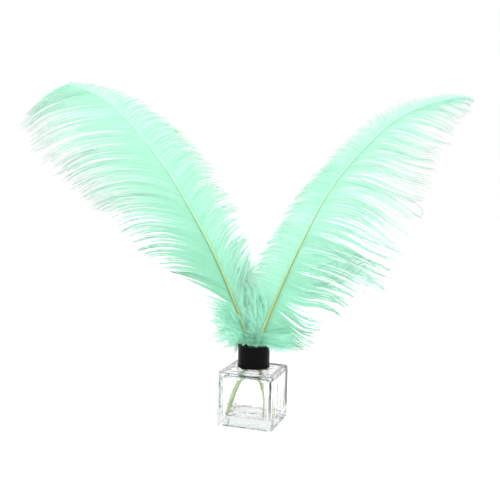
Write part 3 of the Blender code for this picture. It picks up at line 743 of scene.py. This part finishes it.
def dress(name, paths, rng, barbules, finish, taper, rod_step, rows=(MAP_LOW, MAP_HIGH),
          radii=BARB_RADII):
    """Turns paths into barbs: a thin three-sided rod each, with its rows of barbules."""
    count, rings = paths.shape[0], paths.shape[1]
    ahead = unit(np.gradient(paths, axis=1))
    facing = unit(np.array([0, -1.0, 0]) + ahead * ahead[..., 1:2])
    aside = np.cross(ahead, facing)
    t = np.linspace(0, 1, rings)
    # On the bake map every barb has a row of its own, from its root at the left to its tip, with a
    # thin gap to the next row.
    row = rows[0] + (np.arange(count) + 0.5) / count * (rows[1] - rows[0])
    half_row = 0.45 / count * (rows[1] - rows[0])

    # The rods use only some of the points of the paths.
    keep = np.append(np.arange(0, rings - 1, rod_step), rings - 1)
    radius = (radii[0] + (radii[1] - radii[0]) * t[keep])[None, :, None]
    corners = [paths[:, keep] + radius * (math.cos(a) * facing[:, keep] + math.sin(a) * aside[:, keep])
               for a in (0, math.tau / 3, 2 * math.tau / 3)]
    rods = np.stack(corners, 2).reshape(-1, 3)
    first = (np.arange(count)[:, None] * len(keep) + np.arange(len(keep) - 1)[None]).ravel() * 3
    reached = MAP_LOW + (MAP_HIGH - MAP_LOW) * t[keep]
    near, far = np.tile(reached[:-1], count), np.tile(reached[1:], count)
    low, high = (np.repeat(row + edge, len(keep) - 1) for edge in (-half_row, half_row))
    patch = [np.stack(pair, 1) for pair in ((near, low), (near, high), (far, high), (far, low))]
    faces, places = [], []
    for k in range(3):
        a, b = first + k, first + (k + 1) % 3
        faces += [np.stack([a, b, b + 3], 1), np.stack([a, b + 3, a + 3], 1)]
        places += [np.stack([patch[i] for i in corner], 1) for corner in ((0, 1, 2), (0, 2, 3))]

    # Barbules: single slender blades set in two rows, shorter and closer to the barb at its tip.
    length, spacing, angle, spread, width, uneven = barbules
    lengths = np.linalg.norm(np.diff(paths, axis=1), axis=2).sum(1)
    each = np.maximum((lengths / (spacing * MM)).astype(int), 4)
    owner = np.repeat(np.arange(count), each * 2)
    slot = np.concatenate([np.tile(np.arange(n), 2) / n for n in each])
    side = np.concatenate([np.repeat((1.0, -1.0), n) for n in each])
    at = np.clip(slot + rng.uniform(0, 1, len(slot)) / each[owner], 0, 0.999)
    step = at * (rings - 1)
    k = step.astype(int)
    part = (step - k)[:, None]
    root = paths[owner, k] * (1 - part) + paths[owner, k + 1] * part
    along, face, out = ahead[owner, k], facing[owner, k], aside[owner, k]
    swing = np.radians(rng.normal(angle, uneven, len(at)) * (1 - BARBULE_CLOSING * at))
    tilt = np.radians(rng.normal(0, spread, len(at)))
    reach = length * MM * rng.uniform(*BARBULE_REACH, len(at)) * np.clip((1 - at) / taper, 0.1, 1)
    reach *= np.clip(at / BARE_ROOT, 0.4, 1) * np.clip(lengths[owner] / GROWN_BARB, 0.35, 1)
    direction = (np.cos(swing)[:, None] * along + np.sin(swing)[:, None]
                 * (np.cos(tilt)[:, None] * out * side[:, None] + np.sin(tilt)[:, None] * face))
    foot = unit(np.cross(direction, face)) * width * MM / 2
    blades = np.stack([root - foot, root + foot, root + direction * reach[:, None]], 1).reshape(-1, 3)
    base = len(rods) + np.arange(len(at)) * 3
    faces.append(np.stack([base, base + 1, base + 2], 1))
    u = MAP_LOW + 0.97 * at  # which leaves room for the last blades' width
    wide = width * MM / lengths[owner]
    v = row[owner]
    places.append(np.stack([np.stack([u, v], 1), np.stack([u + wide, v], 1),
                            np.stack([u + wide / 2, v + side * half_row], 1)], 1))
    piece = mesh_piece(name, np.vstack([rods, blades]), np.vstack(faces), np.concatenate(places),
                       finish)
    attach(piece, "root")
    return piece


def shaft(name, course, finish, highlight_mirrored):
    """The quill and shaft: round at the quill, with a shallow groove along the front of the shaft."""
    rings, sides = SHAFT_RINGS, SHAFT_SIDES
    share = np.linspace(0, 1, rings + 1)
    line = course.at(share * course.length)
    radius = shaft_radius(share)
    ahead = unit(np.gradient(line, axis=0))
    across = unit(np.cross(ahead, (0, 1, 0)))
    up = np.cross(across, ahead)
    angles = np.arange(sides + 1) * math.tau / sides
    begun = np.clip((share - GROOVE_BEGINS) / GROOVE_FADE, 0, 1)[:, None]
    groove = 1 - GROOVE_DEPTH * begun * np.exp(-((angles - GROOVE_ANGLE) / GROOVE_WIDTH) ** 2)
    rim = radius[:, None, None] * groove[..., None] * (np.cos(angles)[None, :, None] * across[:, None]
                                                       + np.sin(angles)[None, :, None] * up[:, None])
    points = (line[:, None] + rim)[:, :-1].reshape(-1, 3)
    faces, places = [], []
    for i in range(rings):
        for j in range(sides):
            a, b = i * sides + j, i * sides + (j + 1) % sides
            c, d = b + sides, a + sides
            u0, u1 = share[i], share[i + 1]
            v0, v1 = j / sides, (j + 1) / sides
            if highlight_mirrored:  # its pale flank, which carries the painted highlight, is on the other side
                v0, v1 = (1.5 - v0) % 1, (1.5 - v1) % 1
                v0, v1 = (v0 or 1, v1) if v1 > 0.5 else (v0, v1)
            faces += [(a, b, c), (a, c, d)]
            places += [((u0, v0), (u0, v1), (u1, v1)), ((u0, v0), (u1, v1), (u1, v0))]
    ends = np.array([line[0] - ahead[0] * FOOT_POINT, line[-1] + ahead[-1] * TIP_POINT])
    foot, tip = len(points), len(points) + 1
    last = rings * sides
    for j in range(sides):
        faces += [(foot, (j + 1) % sides, j), (tip, last + j, last + (j + 1) % sides)]
        places += [((0, 0.5), (0.004, (j + 1) / sides), (0.004, j / sides)),
                   ((1, 0.5), (0.996, j / sides), (0.996, (j + 1) / sides))]
    piece = mesh_piece(name, np.vstack([points, ends]), np.array(faces), np.array(places, float),
                       finish)
    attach(piece, "root")
    return piece


def down(name, course, plume, seed, finish):
    """The soft afterfeather at the shaft's foot: curled barbs in tufts with long loose barbules."""
    rng = np.random.default_rng(seed)
    per_tuft, spread = DOWN_BARBS_PER_TUFT, plume["down_spread"]
    t = np.linspace(0, 1, BARB_STEPS + 1)
    runs = []
    for share, direction, back, droop, length in plume["down"]:
        turn = np.radians(direction + rng.normal(0, spread, (per_tuft, 1))
                          + wander(per_tuft, rng, *np.multiply(DOWN_SWAY, spread)))
        lean = np.radians(back + rng.normal(0, DOWN_FAN, (per_tuft, 1))
                          + wander(per_tuft, rng, *DOWN_LIFT))
        if back >= 0:  # Such tufts leave the shaft from behind, so that its front stays bare.
            lean = np.where(t[1:] < DOWN_LEAVES, np.maximum(lean, DOWN_LEAST_LEAN), lean)
        reach = length * MM * rng.uniform(*DOWN_ENDS, (per_tuft, 1))
        ways = np.stack([np.cos(lean) * np.cos(turn), np.sin(lean), np.cos(lean) * np.sin(turn)], 2)
        line = np.cumsum(ways * (reach / BARB_STEPS)[..., None], axis=1)
        line = np.concatenate([np.zeros((per_tuft, 1, 3)), line], 1)
        line[:, :, 2] -= reach * t**2 * math.sin(math.radians(droop)) * DOWN_SAG
        roots = np.maximum(share + rng.normal(0, DOWN_ROOTS * length, per_tuft), DOWN_FOOT)
        starts = course.feathered(roots)
        starts[:, 1] += (ROOT_DEPTH if back >= 0 else -ROOT_DEPTH) * course.radius(share)
        line += starts[:, None]
        # What lies over the bottle's mouth or comes out to its front rests above the collar's rim.
        x, y, z = line[..., 0], line[..., 1], line[..., 2]
        over = (np.hypot(x, y) < COLLAR_RADIUS + DOWN_CLEARANCE) | ((abs(x) < MOUTH_FRONT) & (y < 0))
        line[..., 2] = np.where(over, np.maximum(z, COLLAR_TOP + DOWN_CLEARANCE), z)
        runs.append(line)
    return dress(name, np.concatenate(runs), rng, DOWN_BARBULES, finish, DOWN_TAPER, ROD_STEP)


def grow_plume(side, plume, vane_finishes, shaft_finish, seed):
    course = Course(plume["shaft"])
    made = [shaft(f"{side}_shaft", course, shaft_finish, side == "right"),
            down(f"{side}_down", course, plume, seed, vane_finishes["down"])]
    for vane in ("outer", "inner"):
        habit = HABITS[f"{side}_{vane}"]
        paths, rng = gathered_barbs(course, plume, vane, habit)
        shares = np.linspace(MAP_LOW, MAP_HIGH, habit["pieces"] + 1)
        for k, part in enumerate(np.array_split(paths, habit["pieces"])):
            made.append(dress(f"{side}_{vane}_barbs_{k + 1}", part, rng, habit["barbules"],
                              vane_finishes[vane], habit["taper"], ROD_STEP, shares[k:k + 2]))
    made.append(dress(f"{side}_stray_barbs", stray_barbs(course, plume), rng, STRAY_BARBULES,
                      vane_finishes["stray"], 1.0, 1, radii=STRAY_RADII))
    for piece in made:
        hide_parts(f"{side}_feather")


# ---- the studio ----


def camera():
    data = bpy.data.cameras.new("camera")
    data.lens = 50
    data.sensor_width = 36
    data.clip_start = 0.01
    piece = bpy.data.objects.new("camera", data)
    bpy.context.scene.collection.objects.link(piece)
    piece.location = CAMERA_PLACE
    level = Euler((math.radians(90 - CAMERA_DOWN), 0, PLUMES_TURN)).to_matrix()
    piece.rotation_euler = (level @ Matrix.Rotation(math.radians(CAMERA_ASKEW), 3, "Z")).to_euler()
    bpy.context.scene.camera = piece


def softbox(name, place, target, size, power):
    data = bpy.data.lights.new(name, "AREA")
    data.shape = "RECTANGLE"
    data.size, data.size_y = size
    data.energy = power
    lamp = bpy.data.objects.new(name, data)
    bpy.context.scene.collection.objects.link(lamp)
    lamp.location = place
    lamp.rotation_euler = (Vector(target) - Vector(place)).to_track_quat("-Z", "Y").to_euler()


def studio():
    bpy.ops.object.select_all(action="DESELECT")
    bpy.ops.mesh.primitive_circle_add(vertices=96, radius=6, fill_type="NGON", location=(0, 0, 0))
    floor = named("floor")
    floor.data.materials.append(studio_white())
    softbox("key", (-0.55, -1.1, 0.95), (0, 0, 0.15), (0.7, 0.9), 13)
    softbox("fill", (1.1, -0.7, 0.6), (0, 0, 0.12), (0.6, 0.9), 11)
    world = bpy.data.worlds.new("studio_air")
    bpy.context.scene.world = world
    world.use_nodes = True
    tree = world.node_tree
    tree.nodes.clear()
    direction = add_node(tree, "ShaderNodeTexCoord").outputs["Generated"]
    # A white wall behind the object, and a greyer room to the sides and in front of it.
    behind = (-math.sin(PLUMES_TURN), math.cos(PLUMES_TURN), 0)
    toward = add_node(tree, "ShaderNodeVectorMath", {"operation": "DOT_PRODUCT", 1: behind},
                      {0: direction})
    share = add_node(tree, "ShaderNodeMapRange", {"From Min": -1.0, "From Max": 1.0},
                     {"Value": toward.outputs["Value"]})
    shade = ramp(tree, ((0.0, "#b4b4b4"), (0.5, "#c6c6c6"), (0.68, "#c6c6c6"), (0.82, "#ffffff"),
                        (1.0, "#ffffff")), share.outputs[0])
    sky = add_node(tree, "ShaderNodeBackground", {"Strength": 1.0}, {"Color": shade})
    output = tree.nodes.new("ShaderNodeOutputWorld")
    tree.links.new(sky.outputs[0], output.inputs["Surface"])
    bpy.context.scene.view_settings.view_transform = "Standard"


glass = soda_lime_glass()
plastic = moulded_black_plastic()
horn = keratin_shaft()
BARB_DYE = ((0.0, "#e0fcf2"), (0.3, "#e2fcf3"), (0.7, "#e5f9f2"), (0.88, "#dcf0e8"), (1.0, "#bfd3c9"))
barbs = {
    "outer": dyed_barb("mint_dyed_barbs", BARB_DYE,
                       ((0.0, "#cdf2e2"), (0.25, "#d7f4e8"), (0.6, "#eaf9f3"), (1.0, "#f3fcf8"))),
    "inner": dyed_barb("mint_dyed_pale_barbs", (*BARB_DYE[:3], (0.88, "#e2f4ec"), (1.0, "#d0e2d9")),
                       ((0.0, "#f0fdf9"), (0.4, "#effcf7"), (1.0, "#ecfbf5"))),
    "down": dyed_barb("mint_dyed_down", ((0.0, "#e8fff8"), (0.8, "#eafcf6"), (1.0, "#d2e6dc")),
                      ((0.0, "#e6fff7"), (1.0, "#e6fff7"))),
    "stray": dyed_barb("mint_dyed_bare_barbs", ((0.0, "#d4f6e8"), (0.5, "#b4d8c8"), (1.0, "#8a9f95")),
                       ((0.0, "#ffffff"), (1.0, "#ffffff"))),
}
# The right plume's outer barbs are a little paler towards its foot.
paler = dyed_barb("mint_dyed_paler_barbs", BARB_DYE,
                  ((0.0, "#d4f5e7"), (0.25, "#ddf7ed"), (0.6, "#ecf9f4"), (1.0, "#f3fcf8")))
glass_bottle(glass)
black_collar(plastic)
grow_plume("left", LEFT_PLUME, barbs, horn, 21)
grow_plume("right", RIGHT_PLUME, {**barbs, "outer": paler}, horn, 22)
camera()
studio()
